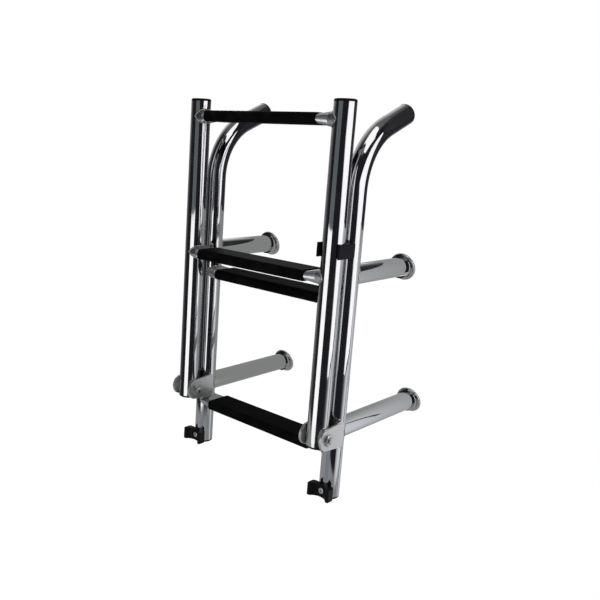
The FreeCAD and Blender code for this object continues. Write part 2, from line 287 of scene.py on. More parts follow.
@dataclass(frozen=True)
class PolishedSteel:
    """Mirror-polished stainless tube: faint haze, polishing lines round it and a slight waviness."""

    axis: Axis
    name: str = "polished_stainless"
    color: Color = (0.645, 0.645, 0.65, 1.0)
    hazed: Color = (0.595, 0.6, 0.605, 1.0)
    roughness: float = 0.045
    haze: float = 0.075
    haze_scale: float = 42.0
    haze_band: Pair = (0.42, 0.78)
    haze_tint: float = 0.6
    line_scales: Pair = (2600.0, 60.0)
    line_tint: float = 0.3
    line_haze: float = 0.02
    line_height: float = 0.25
    wave_scale: float = 70.0
    relief: Relief = Relief(0.12, 0.00002)

    def make(self) -> bpy.types.Material:
        """Build the material.

        Returns:
            The material.
        """
        material, graph = new_material(f"{self.name}_{self.axis.name.lower()}")
        haze = graph.step(graph.noise(self.haze_scale, 3.0), *self.haze_band)
        lines = graph.streaks(self.axis, self.line_scales)
        waves = graph.noise(self.wave_scale, 1.0)
        close_surface(graph, {
            "Base Color": graph.mix(haze * self.haze_tint + lines * self.line_tint, self.color, self.hazed),
            "Metallic": 1.0,
            "Roughness": self.roughness + haze * self.haze + lines * self.line_haze,
            "Normal": graph.bump(lines * self.line_height + waves, self.relief),
        })
        return material


@dataclass(frozen=True)
class SatinSteel:
    """Brushed stainless plate: long fine scratches and a soft sheen."""

    axis: Axis = Axis.Y
    name: str = "satin_stainless"
    color: Color = (0.7, 0.7, 0.685, 1.0)
    dull: Color = (0.6, 0.6, 0.59, 1.0)
    roughness: float = 0.27
    scratch_scales: Pair = (90.0, 2400.0)
    scratch_band: Pair = (0.3, 0.7)
    scratch_haze: float = 0.12
    patch_scale: float = 110.0
    patch_haze: float = 0.08
    relief: Relief = Relief(0.5, 0.00004)

    def make(self) -> bpy.types.Material:
        """Build the material.

        Returns:
            The material.
        """
        material, graph = new_material(self.name)
        scratches = graph.streaks(self.axis, self.scratch_scales, 4.0)
        patches = graph.noise(self.patch_scale)
        close_surface(graph, {
            "Base Color": graph.mix(graph.step(scratches, *self.scratch_band), self.dull, self.color),
            "Metallic": 1.0,
            "Roughness": self.roughness + scratches * self.scratch_haze + patches * self.patch_haze,
            "Normal": graph.bump(scratches, self.relief),
        })
        return material


@dataclass(frozen=True)
class TurnedSteel:
    """Polished screw, bolt, nut or washer with traces of turning and tumbling."""

    name: str = "stainless_fasteners"
    color: Color = (0.66, 0.66, 0.655, 1.0)
    dull: Color = (0.54, 0.54, 0.535, 1.0)
    roughness: float = 0.22
    nick_scale: float = 900.0
    bloom_scale: float = 260.0
    bloom_band: Pair = (0.35, 0.7)
    bloom_haze: float = 0.1
    bloom_height: float = 0.5
    relief: Relief = Relief(0.3, 0.00003)

    def make(self) -> bpy.types.Material:
        """Build the material.

        Returns:
            The material.
        """
        material, graph = new_material(self.name)
        nicks = graph.cells("F1", self.nick_scale)
        bloom = graph.noise(self.bloom_scale, 3.0)
        close_surface(graph, {
            "Base Color": graph.mix(graph.step(bloom, *self.bloom_band), self.color, self.dull),
            "Metallic": 1.0,
            "Roughness": self.roughness + bloom * self.bloom_haze,
            "Normal": graph.bump(nicks + bloom * self.bloom_height, self.relief),
        })
        return material


@dataclass(frozen=True)
class WeldSteel:
    """Brushed-out weld metal with the faint straw tint that heat leaves."""

    name: str = "weld_metal"
    color: Color = (0.56, 0.56, 0.55, 1.0)
    tint: Color = (0.54, 0.5, 0.44, 1.0)
    roughness: float = 0.34
    heat_scale: float = 130.0
    heat_band: Pair = (0.45, 0.75)
    grit_scale: float = 1900.0
    grit_haze: float = 0.12
    relief: Relief = Relief(0.4, 0.00005)

    def make(self) -> bpy.types.Material:
        """Build the material.

        Returns:
            The material.
        """
        material, graph = new_material(self.name)
        heat = graph.noise(self.heat_scale)
        grit = graph.noise(self.grit_scale)
        close_surface(graph, {
            "Base Color": graph.mix(graph.step(heat, *self.heat_band), self.color, self.tint),
            "Metallic": 1.0,
            "Roughness": self.roughness + grit * self.grit_haze,
            "Normal": graph.bump(grit, self.relief),
        })
        return material


@dataclass(frozen=True)
class TreadRubber:
    """Extruded black sleeve: smooth, with a faint gloss and drawn lines along its length."""

    axis: Axis = Axis.X
    name: str = "black_tread"
    color: Color = (0.0028, 0.0028, 0.0032, 1.0)
    worn: Color = (0.0062, 0.0062, 0.007, 1.0)
    roughness: float = 0.45
    gloss: float = 0.012
    drawn_scales: Pair = (12.0, 1500.0)
    drawn_height: float = 0.5
    grain_scale: float = 2200.0
    grain_height: float = 0.5
    bloom_scale: float = 55.0
    bloom_band: Pair = (0.4, 0.75)
    bloom_haze: float = 0.12
    relief: Relief = Relief(0.35, 0.00006)

    def make(self) -> bpy.types.Material:
        """Build the material.

        Returns:
            The material.
        """
        material, graph = new_material(self.name)
        drawn = graph.streaks(self.axis, self.drawn_scales)
        grain = graph.noise(self.grain_scale)
        bloom = graph.noise(self.bloom_scale, 3.0)
        close_surface(graph, {
            "Base Color": graph.mix(graph.step(bloom, *self.bloom_band), self.color, self.worn),
            "Roughness": self.roughness + bloom * self.bloom_haze,
            "Specular IOR Level": self.gloss,
            "Normal": graph.bump(drawn * self.drawn_height + grain * self.grain_height, self.relief),
        })
        return material


@dataclass(frozen=True)
class MouldedPlastic:
    """Injection-moulded black plastic with a fine spark-eroded texture."""

    name: str = "black_plastic"
    color: Color = (0.002, 0.002, 0.0025, 1.0)
    worn: Color = (0.0045, 0.0045, 0.0055, 1.0)
    roughness: float = 0.36
    gloss: float = 0.14
    pit_scale: float = 2300.0
    flow_scale: float = 180.0
    flow_band: Pair = (0.4, 0.75)
    flow_haze: float = 0.14
    relief: Relief = Relief(0.35, 0.00005)

    def make(self) -> bpy.types.Material:
        """Build the material.

        Returns:
            The material.
        """
        material, graph = new_material(self.name)
        flow = graph.noise(self.flow_scale, 3.0)
        close_surface(graph, {
            "Base Color": graph.mix(graph.step(flow, *self.flow_band), self.color, self.worn),
            "Roughness": self.roughness + flow * self.flow_haze,
            "Specular IOR Level": self.gloss,
            "Normal": graph.bump(graph.cells("SMOOTH_F1", self.pit_scale), self.relief),
        })
        return material


@dataclass(frozen=True)
class TableTop:
    """Pale table: shaded, and lifted to plain white where the camera sees it."""

    name: str = "table_top"
    color: Color = (0.36, 0.36, 0.36, 1.0)
    fleck: Color = (0.34, 0.34, 0.34, 1.0)
    mottle_scale: float = 9.0
    lift: float = 0.75
    lift_in_metal: float = 0.05

    def make(self) -> bpy.types.Material:
        """Build the material.

        Returns:
            The material.
        """
        material, graph = new_material(self.name)
        mottle = graph.noise(self.mottle_scale, 3.0)
        shaded = graph.value("ShaderNodeBsdfDiffuse", {}, {
            "Color": graph.mix(mottle, self.color, self.fleck)})
        lifted = graph.value("ShaderNodeEmission", {}, {
            "Color": grey(1.0), "Strength": graph.seen(self.lift_in_metal / self.lift) * self.lift})
        both = graph.value("ShaderNodeAddShader", {}, {0: shaded, 1: lifted})
        graph.node("ShaderNodeOutputMaterial", {}, {"Surface": both})
        return material


class Finishes:
    """One material of each finish, shared by the ladder's pieces."""

    def __init__(self) -> None:
        """Build the materials."""
        self.polished = {axis: PolishedSteel(axis).make() for axis in Axis}
        self.pressed = PolishedSteel(Axis.X, "pressed_stainless", roughness=0.27, haze=0.1).make()
        self.satin = SatinSteel().make()
        self.fastener = TurnedSteel().make()
        self.weld = WeldSteel().make()
        self.tread = TreadRubber().make()
        self.plastic = MouldedPlastic().make()


def dress(names: Iterable[str], material: bpy.types.Material) -> None:
    """Give CAD nodes a finish.

    Args:
        names: Their names.
        material: The finish.
    """
    for name in names:
        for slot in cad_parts[name].material_slots:
            slot.material = material
        LOG.info("%s: %s", name, material.name)


class GeometryTree:
    """A Geometry Nodes tree built here, with named inputs, that ends in plain geometry."""

    def __init__(self, name: str, sizes: Mapping[str, float]) -> None:
        """Make the tree and its inputs.

        Args:
            name: The tree's name.
            sizes: Name and value of each size input, in metres, turns or radians.
        """
        self.tree = bpy.data.node_groups.new(name, "GeometryNodeTree")
        self.graph = Graph(self.tree)
        self.sizes = dict(sizes)
        interface = self.tree.interface
        interface.new_socket("Geometry", in_out="INPUT", socket_type="NodeSocketGeometry")
        for size in self.sizes:
            interface.new_socket(size, in_out="INPUT", socket_type="NodeSocketFloat")
        interface.new_socket("Finish", in_out="INPUT", socket_type="NodeSocketMaterial")
        interface.new_socket("Geometry", in_out="OUTPUT", socket_type="NodeSocketGeometry")
        self.entry = self.graph.node("NodeGroupInput")

    def given(self, name: str) -> Socket:
        """One of the tree's inputs."""
        return Socket(self.graph, self.entry.outputs[name])

    def close(self, geometry: Socket) -> None:
        """Smooth, realize and dress the result, and end the tree.

        Args:
            geometry: The made geometry.
        """
        smooth = self.graph.value("GeometryNodeSetShadeSmooth", {}, {"Geometry": geometry})
        real = self.graph.value("GeometryNodeRealizeInstances", {}, {"Geometry": smooth})
        dressed = self.graph.value("GeometryNodeSetMaterial", {}, {
            "Geometry": real, "Material": self.given("Finish")})
        self.graph.node("NodeGroupOutput", {}, {"Geometry": dressed})

    def grow(self, name: str, seed_mesh: bpy.types.Mesh, finish: bpy.types.Material,
             body: str, slot: str) -> bpy.types.Object:
        """Run the tree on a seed mesh and keep the result as a plain piece.

        Args:
            name: The piece's name.
            seed_mesh: Points or paths that the tree starts from.
            finish: Material for the tree's Finish input.
            body: CAD body that the piece rides on.
            slot: Not used.

        Returns:
            The finished piece.
        """
        carrier = add_object(name + "_seed", seed_mesh)
        modifier = carrier.modifiers.new("grow", "NODES")
        modifier.node_group = self.tree
        given = {**self.sizes, "Finish": finish}
        for item in self.tree.interface.items_tree:
            if item.in_out == "INPUT" and item.name in given:
                modifier[item.identifier] = given[item.name]
        depsgraph = bpy.context.evaluated_depsgraph_get()
        mesh = bpy.data.meshes.new_from_object(carrier.evaluated_get(depsgraph))
        bpy.data.objects.remove(carrier)
        mesh.name = name
        piece = add_object(name, mesh)
        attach(piece, body)
        LOG.info("%s: %d faces", name, len(mesh.polygons))
        return piece


@dataclass
class Run:
    """Path of a weld: its points and whether it closes on itself."""

    points: list[Vector]
    closed: bool = True


@dataclass
class WeldBead:
    """Rippled bead laid along every weld of one section."""

    radius: float = 0.95
    pitch: float = 1.2
    ripple: float = 0.2
    spacing: float = 0.22
    wander: float = 0.12
    wander_scale: float = 160.0
    wander_seed: float = 3.0
    corners: int = 10

    def tree(self) -> GeometryTree:
        """Build the tree: a round bead swept along the paths, its radius rippled.

        Returns:
            The tree.
        """
        tree = GeometryTree("weld_bead", {
            "Bead radius": self.radius * MM, "Ripple pitch": self.pitch * MM, "Ripple depth": self.ripple,
            "Point spacing": self.spacing * MM, "Wander": self.wander})
        graph = tree.graph
        paths = graph.value("GeometryNodeMeshToCurve", {}, {"Mesh": tree.given("Geometry")})
        fine = graph.value("GeometryNodeResampleCurve", {"mode": "LENGTH"}, {
            "Curve": paths, "Length": tree.given("Point spacing")})
        length = graph.value("GeometryNodeSplineParameter", output="Length")
        turns = length / tree.given("Ripple pitch")
        wave = graph.maths("FRACT", turns)
        crest = 1.0 - tree.given("Ripple depth") * wave ** 2.0
        drift = graph.value("ShaderNodeTexNoise", {"noise_dimensions": "4D"}, {
            "W": self.wander_seed, "Scale": self.wander_scale})
        size = crest * (1.0 + tree.given("Wander") * (drift - 0.5) * 2.0)
        ring = graph.value("GeometryNodeCurvePrimitiveCircle", {}, {
            "Resolution": self.corners, "Radius": tree.given("Bead radius")})
        bead = graph.value("GeometryNodeCurveToMesh", {}, {
            "Curve": fine, "Profile Curve": ring, "Scale": size, "Fill Caps": True})
        tree.close(bead)
        return tree


def path_mesh(name: str, runs: Sequence[Run]) -> bpy.types.Mesh:
    """Mesh of edges along weld paths.

    Args:
        name: The mesh's name.
        runs: The paths, in frame coordinates.

    Returns:
        The mesh.
    """
    points: list[Vector] = []
    edges: list[tuple[int, int]] = []
    for run in runs:
        first = len(points)
        points.extend(run.points)
        last = len(points) - 1
        edges.extend((index, index + 1) for index in range(first, last))
        if run.closed:
            edges.append((last, first))
    return plain_mesh(name, points, edges)


@dataclass(frozen=True)
class Layout:
    """Sizes that the sections share, in millimetres and degrees.

    Half the track is the distance of the uprights' axes from the ladder's middle.
    """

    half_track: float = 109.3
    tube_r: float = 12.5
    section_gap: float = 33.7
    standoff_r: float = 12.0
    rung_end_depth: float = 24.4
    rung_end_height: float = 16.5
    standoffs: Pair = (187.2, 0.0)
    upper_reach: float = 118.2
    rake: float = 15.8

    def reach(self, height: float) -> float:
        """Place of the raked plane behind the feet, at a height."""
        return self.upper_reach + (self.standoffs[0] - height) * math.tan(math.radians(self.rake))

    def rung_weld(self, side: int, y: float, z: float, count: int = 72) -> Run:
        """Closed path round a rung's end, on the upright's surface.

        Args:
            side: -1 left, 1 right.
            y: Place of the upright's axis.
            z: The rung's height.
            count: Points on the path.

        Returns:
            The path.
        """
        corner = self.rung_end_height / 2
        flat = self.rung_end_depth / 2 - corner
        points = []
        for angle in angles(count):
            across = math.copysign(flat, math.cos(angle)) + corner * math.cos(angle)
            inward = math.sqrt(max(self.tube_r ** 2 - across ** 2, 0.0))
            points.append(frame_point(side * (self.half_track - inward), y + across,
                                      z + corner * math.sin(angle)))
        return Run(points)

    def standoff_weld(self, side: int, z: float, count: int = 72) -> Run:
        """Closed path round a standoff's front end, on the back of a fixed upright.

        Args:
            side: -1 left, 1 right.
            z: The standoff's height.
            count: Points on the path.

        Returns:
            The path.
        """
        points = []
        for angle in angles(count):
            across = self.standoff_r * math.cos(angle)
            points.append(frame_point(side * self.half_track + across,
                                      math.sqrt(self.tube_r ** 2 - across ** 2),
                                      z + self.standoff_r * math.sin(angle)))
        return Run(points)


@dataclass
class Section:
    """What the ladder's two sections share: rungs in treads, welded between two uprights."""

    layout: Layout
    finishes: Finishes
    name: str
    levels: tuple[str, str]
    rungs: Pair
    plane: float
    plugs: tuple[str, str]

    def dress(self) -> None:
        """Finish its uprights, rungs, treads and plugs."""
        dress([f"{side}_{self.name}_upright" for side in SIDES], self.finishes.polished[Axis.Z])
        dress([f"{self.name}_{level}_rung" for level in self.levels], self.finishes.pressed)
        dress([f"{self.name}_{level}_tread" for level in self.levels], self.finishes.tread)
        dress([f"{side}_{plug}" for side in SIDES for plug in self.plugs], self.finishes.plastic)

    def side_runs(self, side: int) -> list[Run]:
        """Weld paths on one side's upright, which is -1 on the left and 1 on the right."""
        return [self.layout.rung_weld(side, self.plane, height) for height in self.rungs]

    def weld(self, tree: GeometryTree) -> None:
        """Lay its weld beads with the bead's tree."""
        runs = [run for side in SIDES.values() for run in self.side_runs(side)]
        tree.grow(f"{self.name}_welds", path_mesh(f"{self.name}_weld_paths", runs), self.finishes.weld,
                  f"{self.name}_section", "satin_stainless")


@dataclass
class FixedSection(Section):
    """Rear section: bent uprights with grab handles, two rungs, standoffs and feet."""

    name: str = "fixed"
    levels: tuple[str, str] = LEVELS
    rungs: Pair = (-23.2, 157.8)
    plane: float = 0.0
    plugs: tuple[str, str] = ("handle_plug", "fixed_bottom_plug")
    plate_seam: float = 12.6
    seam_rear: float = -3.4
    seam_top: float = 13.0
    outer_seam_foot: float = -13.0
    inner_seam_foot: float = -9.0

    def dress(self) -> None:
        """Finish its pieces, standoffs and feet among them."""
        super().dress()
        parts = ("standoff", "foot")
        dress([f"{side}_{level}_{part}" for side in SIDES for level in LEVELS for part in parts],
              self.finishes.polished[Axis.Y])

    def side_runs(self, side: int) -> list[Run]:
        """Weld paths on one side's upright: its rungs, its standoffs and its hinge plates.

        Args:
            side: -1 left, 1 right.

        Returns:
            The paths.
        """
        runs = super().side_runs(side)
        runs += [self.layout.standoff_weld(side, height) for height in self.layout.standoffs]
        for outward, lowest in ((side, self.outer_seam_foot), (-side, self.inner_seam_foot)):
            x = side * self.layout.half_track + outward * self.plate_seam
            ends = [frame_point(x, self.seam_rear, height) for height in (lowest, self.seam_top)]
            runs.append(Run(ends, closed=False))
        return runs


@dataclass
class FoldingSection(Section):
    """Front section: two straight uprights with two rungs, which swings down over the hinge."""

    name: str = "folding"
    levels: tuple[str, str] = ("lower", "top")
    rungs: Pair = (187.2, 358.5)
    plane: float = -Layout.section_gap
    plugs: tuple[str, str] = ("folding_top_plug", "swivel_plug")


@dataclass(frozen=True)
class Station:
    """Ring of a turned piece: its place along the axis, its radius, and whether flats cut it."""

    place: float
    radius: float
    hexagonal: bool = False


@dataclass
class Hinges:
    """Plates at the fixed uprights' lower ends, and through each pair a bolt with its nut.

    The bolts' heads are on the ladder's left of each upright and their threaded ends on its right.
    """

    layout: Layout
    finishes: Finishes
    body: str = "fixed_section"
    plate_face: float = 16.0
    end: float = 21.25
    bolt_r: float = 4.0
    groove_r: float = 3.5
    pitch: float = 1.25
    threads: int = 2
    flats: float = 13.0
    corner_r: float = 7.5
    washer_r: float = 8.0
    washer: float = 1.5
    washer_rim: float = 0.3
    nut: float = 2.8
    chamfer: float = 0.7
    tip: float = 0.1
    tip_r: float = 3.6
    end_r: float = 3.3

    def dress(self) -> None:
        """Finish the plates."""
        dress([f"{side}_{part}_hinge_plate" for side in SIDES for part in ("outer", "inner")],
              self.finishes.satin)

    def stations(self) -> list[Station]:
        """Rings of a bolt with its washer and nut.

        Returns:
            The rings, from the head to the threaded end.
        """
        face, seat, slope = self.plate_face, -self.plate_face - self.washer, self.chamfer / 2
        top, bevel_r = face + self.nut, self.corner_r - self.chamfer
        crown_r = bevel_r - self.chamfer
        rings = [
            Station(-self.end, crown_r, True), Station(slope - self.end, bevel_r, True),
            Station(self.chamfer - self.end, self.corner_r, True), Station(seat, self.corner_r, True),
            Station(seat, self.washer_r - self.washer_rim), Station(seat + self.washer_rim, self.washer_r),
            Station(-face, self.washer_r), Station(-face, self.bolt_r),
            Station(face, self.bolt_r), Station(face, bevel_r, True),
            Station(face + slope, self.corner_r, True), Station(top - self.chamfer, self.corner_r, True),
            Station(top - slope, bevel_r, True), Station(top, crown_r, True)]
        for turn in range(self.threads):
            root = top + turn * self.pitch
            rings += [Station(root, self.groove_r), Station(root + self.pitch / 2, self.bolt_r)]
        return rings + [Station(self.end - self.tip, self.tip_r), Station(self.end, self.end_r)]

    def fasten(self) -> None:
        """Put a bolt, washer and nut through each pair of plates."""
        for side, sign in SIDES.items():
            middle = frame_point(sign * self.layout.half_track, -self.layout.section_gap, 0.0)
            mesh = turned_mesh(f"{side}_hinge_fastener", middle, self.stations(), self.flats)
            mesh.materials.append(self.finishes.fastener)
            piece = add_object(mesh.name, mesh)
            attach(piece, self.body)
            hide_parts(f"{side}_hinge_bolt", f"{side}_hinge_nut", f"{side}_hinge_washer")
            LOG.info("%s: %d faces", piece.name, len(mesh.polygons))


def turned_mesh(name: str, middle: Vector, stations: Sequence[Station], flats: float,
                count: int = 96, crease: float = 25.0) -> bpy.types.Mesh:
    """Closed mesh turned round an axis along X, its hexagonal rings cut by flats.

    Args:
        name: The mesh's name.
        middle: Point of the axis that the stations are measured from, in the frame.
        stations: Rings in order of their place, in millimetres.
        flats: Width across the flats, in millimetres.
        count: Points round a ring.
        crease: Sharpest turn that stays smooth, in degrees.

    Returns:
        The mesh.
    """
    sector = math.pi / 3
    points: list[Vector] = []
    faces: list[tuple[int, ...]] = []
    for station in stations:
        for angle in angles(count):
            reach = station.radius
            if station.hexagonal:
                reach = min(reach, flats / 2 / math.cos(angle % sector - sector / 2))
            offset = Vector((station.place, reach * math.cos(angle), reach * math.sin(angle)))
            points.append(middle + offset * MM)
    for ring in range(len(stations) - 1):
        first = ring * count
        for index in range(count):
            following = (index + 1) % count
            faces.append((first + index, first + following, first + count + following, first + count + index))
    faces.append(tuple(reversed(range(count))))
    faces.append(tuple(range(len(points) - count, len(points))))
    mesh = plain_mesh(name, points, faces=faces)
    mesh.shade_smooth()
    mesh.set_sharp_from_angle(angle=math.radians(crease))
    return mesh


@dataclass
class Holders:
    """Clip that holds the section up, and the pads that it rests in when lowered."""

    finishes: Finishes

    def dress(self) -> None:
        """Finish the mouldings and their screws."""
        dress(["fold_clip", "left_rest_pad", "right_rest_pad"], self.finishes.plastic)
        dress(["clip_screw", "left_pad_screw", "right_pad_screw"], self.finishes.fastener)


@dataclass
class FootThreads:
    """Thread in the blind hole of each of the four feet."""

    layout: Layout
    finishes: Finishes
    body: str = "fixed_section"
    bore_r: float = 3.4
    pitch: float = 1.25
    ridge: float = 0.55
    length: float = 13.75
    steps: int = 36
    corners: int = 4

    def mouths(self) -> list[Vector]:
        """Centres of the feet's back faces."""
        return [frame_point(side * self.layout.half_track, self.layout.reach(height), height)
                for side in SIDES.values() for height in self.layout.standoffs]

    def tree(self) -> GeometryTree:
        """Build the tree: a ridged coil standing on each point, turned into the hole.

        Returns:
            The tree.
        """
        tree = GeometryTree("foot_thread", {
            "Bore radius": self.bore_r * MM, "Pitch": self.pitch * MM, "Ridge": self.ridge * MM,
            "Thread length": self.length * MM, "Lean": math.radians(90.0 + self.layout.rake)})
        graph = tree.graph
        turns = tree.given("Thread length") / tree.given("Pitch")
        coil = graph.value("GeometryNodeCurveSpiral", {}, {
            "Resolution": self.steps, "Rotations": turns, "Start Radius": tree.given("Bore radius"),
            "End Radius": tree.given("Bore radius"), "Height": tree.given("Thread length")})
        steady = graph.value("GeometryNodeSetCurveNormal", {"mode": "Z_UP"}, {"Curve": coil})
        ridge = graph.value("GeometryNodeCurvePrimitiveCircle", {}, {
            "Resolution": self.corners, "Radius": tree.given("Ridge")})
        thread = graph.value("GeometryNodeCurveToMesh", {}, {
            "Curve": steady, "Profile Curve": ridge, "Fill Caps": True})
        lean = graph.value("ShaderNodeCombineXYZ", {}, {"X": tree.given("Lean")})
        copies = graph.value("GeometryNodeInstanceOnPoints", {}, {
            "Points": tree.given("Geometry"), "Instance": thread, "Rotation": lean})
        tree.close(copies)
        return tree

    def cut(self) -> None:
        """Put the threads in the feet."""
        mouths = plain_mesh("thread_mouths", self.mouths())
        self.tree().grow("foot_threads", mouths, self.finishes.fastener, self.body, "stainless_fasteners")


@dataclass
class PhotoCamera:
    """Camera at the photograph's viewing angle."""

    place: Point = (0.69236, -0.81867, 0.13632)
    azimuth: float = 44.5718
    pitch: float = 12.4032
    roll: float = 2.8571
    lens: float = 44.4611
    sensor: float = 36.0
    shift: float = 0.15
    clip: Pair = (0.01, 50.0)

    def build(self) -> None:
        """Make the camera and give it to the scene."""
        azimuth, pitch, roll = (math.radians(angle) for angle in (self.azimuth, self.pitch, self.roll))
        forward = Vector((-math.sin(azimuth) * math.cos(pitch), math.cos(azimuth) * math.cos(pitch),
                          -math.sin(pitch)))
        level = Vector((math.cos(azimuth), math.sin(azimuth), 0.0))
        upward = level.cross(forward)
        right = level * math.cos(roll) + upward * math.sin(roll)
        top = upward * math.cos(roll) - level * math.sin(roll)
        data = bpy.data.cameras.new("photo_camera")
        data.lens = self.lens
        data.sensor_width = self.sensor
        data.shift_x = self.shift
        data.clip_start, data.clip_end = self.clip
        camera = add_object("photo_camera", data)
        camera.matrix_world = axes_matrix(right, top, -forward, Vector(self.place))
        bpy.context.scene.camera = camera
        LOG.info("camera at %s", self.place)


def axes_matrix(x_axis: Vector, y_axis: Vector, z_axis: Vector, place: Vector) -> Matrix:
    """Matrix of an object with the given axes at a place."""
    return Matrix.Translation(place) @ Matrix((x_axis, y_axis, z_axis)).transposed().to_4x4()


@dataclass(frozen=True)
class SoftLamp:
    """Large even panel that lights the matt pieces and the table."""

    name: str
    place: Point
    radiance: float
    aim: Point = (0.0, 0.0, 150.0)
    size: float = 0.9

    def build(self) -> None:
        """Make the lamp, facing its aim."""
        data = bpy.data.lights.new(self.name, "AREA")
        data.shape = "SQUARE"
        data.size = self.size
        data.energy = self.radiance * math.pi * self.size ** 2
        place = frame_point(*self.place)
        backward = (place - frame_point(*self.aim)).normalized()
        level = Vector((0.0, 0.0, 1.0)).cross(backward).normalized()
        lamp = add_object(self.name, data)
        lamp.matrix_world = axes_matrix(level, backward.cross(level), backward, place)
        lamp.visible_camera = False
        lamp.visible_glossy = False
        LOG.info("%s: %.1f m wide", self.name, self.size)


@dataclass(frozen=True)
class Panel:
    """A far light or dark part of the room that polished steel sees.

    Azimuth is 0 in front of the ladder and 90 on its right; all angles are in degrees.
    """

    azimuth: float
    half_width: float
    lowest: float
    highest: float
    color: Color
    soft: float
    edge: float

    def mask(self, graph: Graph, turn: Socket, rise: Socket) -> Socket:
        """Where the panel is.

        Args:
            graph: Graph of the world.
            turn: Azimuth in degrees.
            rise: Elevation in degrees.

        Returns:
            1 on the panel, 0 off it.
        """
        aside = graph.apart(turn, self.azimuth)
        width = 1.0 - graph.step(aside, self.half_width - self.soft, self.half_width + self.soft)
        above = graph.step(rise, self.lowest - self.edge, self.lowest + self.edge)
        below = 1.0 - graph.step(rise, self.highest - self.edge, self.highest + self.edge)
        return width * above * below


@dataclass(frozen=True)
class Card:
    """Flat glowing card near the ladder, seen only in polished steel.

    Corners are millimetres in the ladder's system. A card with a second colour turns to it along
    one axis, over the stretch in turns. The fade is the share of it that is lost higher up, over
    the heights in dims.
    """

    name: str
    corners: tuple[Point, ...]
    color: Color
    second: Color | None = None
    along: Axis = Axis.X
    turns: Pair = (0.0, 1.0)
    fade: float = 0.0
    dims: Pair = (60.0, 170.0)

    def shade(self, graph: Graph) -> Socket:
        """Colour that turns along the card.

        Args:
            graph: Graph of its material.

        Returns:
            The colour.
        """
        names = (self.along.value, Axis.Z.value)
        along, height = graph.values("ShaderNodeSeparateXYZ", {"Vector": graph.place()}, names)
        start, end = (frame_point(reach, reach, reach)[self.along.value] for reach in self.turns)
        dimmed = graph.step(height, *(frame_point(0.0, 0.0, level).z for level in self.dims))
        share = graph.step(along, start, end) * (1.0 - dimmed * self.fade)
        return graph.mix(share, self.color, self.second)

    def build(self) -> None:
        """Stand the card up."""
        material, graph = new_material(self.name)
        color = self.shade(graph) if self.second else self.color
        glow = graph.value("ShaderNodeEmission", {}, {"Color": color, "Strength": 1.0})
        graph.node("ShaderNodeOutputMaterial", {}, {"Surface": glow})
        corners = [frame_point(*corner) for corner in self.corners]
        mesh = plain_mesh(self.name, corners, faces=[range(len(corners))])
        mesh.materials.append(material)
        card = add_object(self.name, mesh)
        for kind in ("camera", "diffuse", "transmission", "volume_scatter", "shadow"):
            setattr(card, f"visible_{kind}", False)
        LOG.info("%s: %d corners", self.name, len(corners))


def oblong(sides: Pair, heights: Pair) -> list[Pair]:
    """Outline of a rectangle between two sides and two heights."""
    return [(sides[0], heights[0]), (sides[1], heights[0]), (sides[1], heights[1]), (sides[0], heights[1])]


